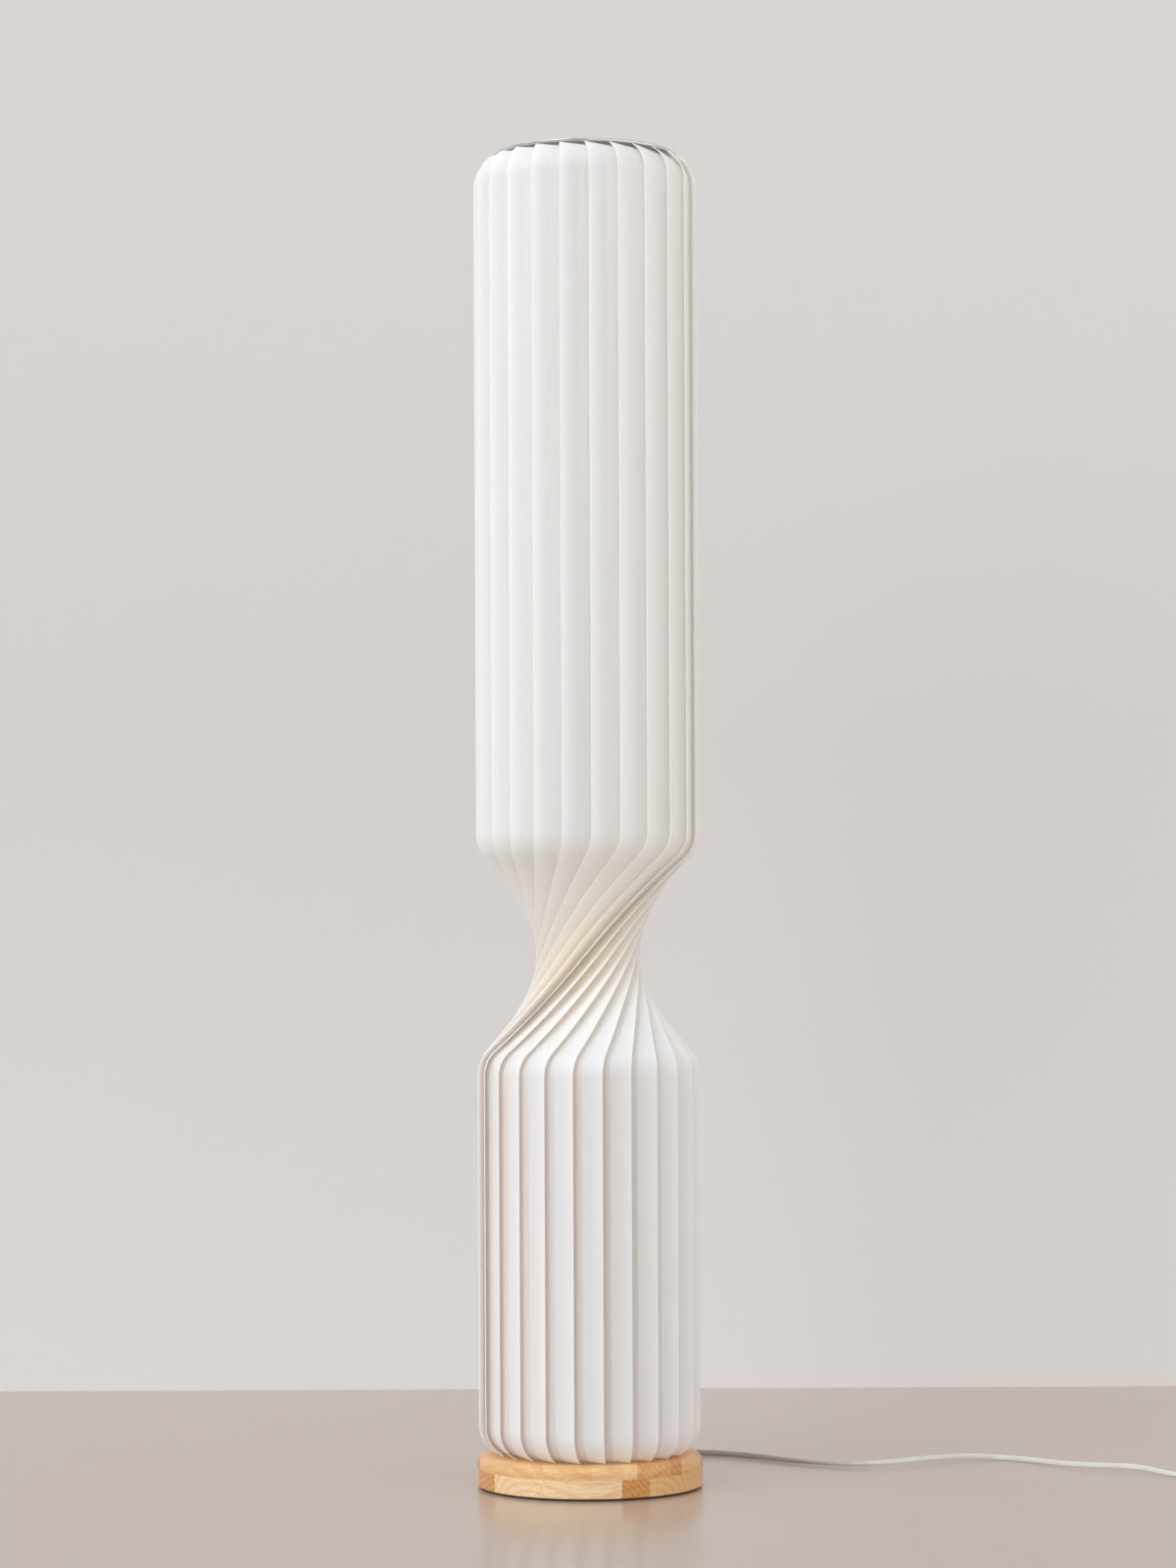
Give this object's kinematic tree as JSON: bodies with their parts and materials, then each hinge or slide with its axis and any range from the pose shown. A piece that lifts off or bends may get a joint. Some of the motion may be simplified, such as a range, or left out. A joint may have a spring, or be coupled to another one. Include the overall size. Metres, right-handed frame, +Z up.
{
  "type": "floor lamp",
  "caption": "Floor lamp with a tall shade of overlapping translucent plastic strips, twisted in at a narrow waist, on a round wooden base, with cord, hand switch and plug.",
  "frame": {"origin": "centre of the underside of the base pad, on the floor", "axes": "+Z up the lamp's axis, -Y the front seen in the picture, +X its right"},
  "size_m": [0.7912, 0.3672, 1.18],
  "materials": {
    "strip_plastic": "satin, translucent",
    "rubberwood": "satin lacquer over jointed staves",
    "pad_rubber": "matte",
    "ballast_iron": "plain cast plate",
    "tube_paint": "satin paint",
    "zinc": "zinc plated",
    "polished_steel": "polished",
    "inner_plastic": "moulded, satin",
    "white_plastic": "moulded, semi gloss",
    "clear_plastic": "clear flexible plastic over two cores",
    "lead_plastic": "plain",
    "opal_globe": "frosted",
    "pin_nickel": "nickel plated"
  },
  "bodies": {
    "lamp": {"base_pad": "pad_rubber", "wood_lower_layer": "rubberwood", "wood_upper_layer": "rubberwood", "ballast_plate": "ballast_iron", "centre_tube": "tube_paint", "tube_nuts": "zinc", "tube_collar": "tube_paint", "lower_rim": "inner_plastic", "upper_rim": "inner_plastic", "top_ring": "polished_steel", "countersunk_screws": "zinc", "lower_disc": "inner_plastic", "upper_disc": "inner_plastic", "terminal_block": "inner_plastic", "base_lead": "lead_plastic", "cord_gland": "clear_plastic", "cord_run": "clear_plastic", "cord_link": "clear_plastic", "cord_coil": "clear_plastic", "switch_lower_half": "white_plastic", "switch_upper_half": "white_plastic", "plug_body": "white_plastic", "plug_pins": "pin_nickel", "lower_bracket": "zinc", "lower_holder": "white_plastic", "lower_bulb_cap": "pin_nickel", "lower_bulb_globe": "opal_globe", "lower_bulb_lead": "lead_plastic", "upper_bracket": "zinc", "upper_holder": "white_plastic", "upper_bulb_cap": "pin_nickel", "upper_bulb_globe": "opal_globe", "upper_bulb_lead": "lead_plastic", "strip_01": "strip_plastic", "strip_02": "strip_plastic", "strip_03": "strip_plastic", "strip_04": "strip_plastic", "strip_05": "strip_plastic", "strip_06": "strip_plastic", "strip_07": "strip_plastic", "strip_08": "strip_plastic", "strip_09": "strip_plastic", "strip_10": "strip_plastic", "strip_11": "strip_plastic", "strip_12": "strip_plastic", "strip_13": "strip_plastic", "strip_14": "strip_plastic", "strip_15": "strip_plastic", "strip_16": "strip_plastic", "strip_17": "strip_plastic", "strip_18": "strip_plastic", "strip_19": "strip_plastic", "strip_20": "strip_plastic", "strip_21": "strip_plastic", "strip_22": "strip_plastic", "strip_23": "strip_plastic", "strip_24": "strip_plastic"},
    "rocker": {"switch_rocker": "white_plastic"}
  },
  "joints": [
    {"name": "switch_rock", "type": "hinge", "parent": "lamp", "child": "rocker", "pos_m": [0.582, -0.081, 0.0135], "axis": [1, 0, 0], "range_deg": [-16, 0]}
  ]
}
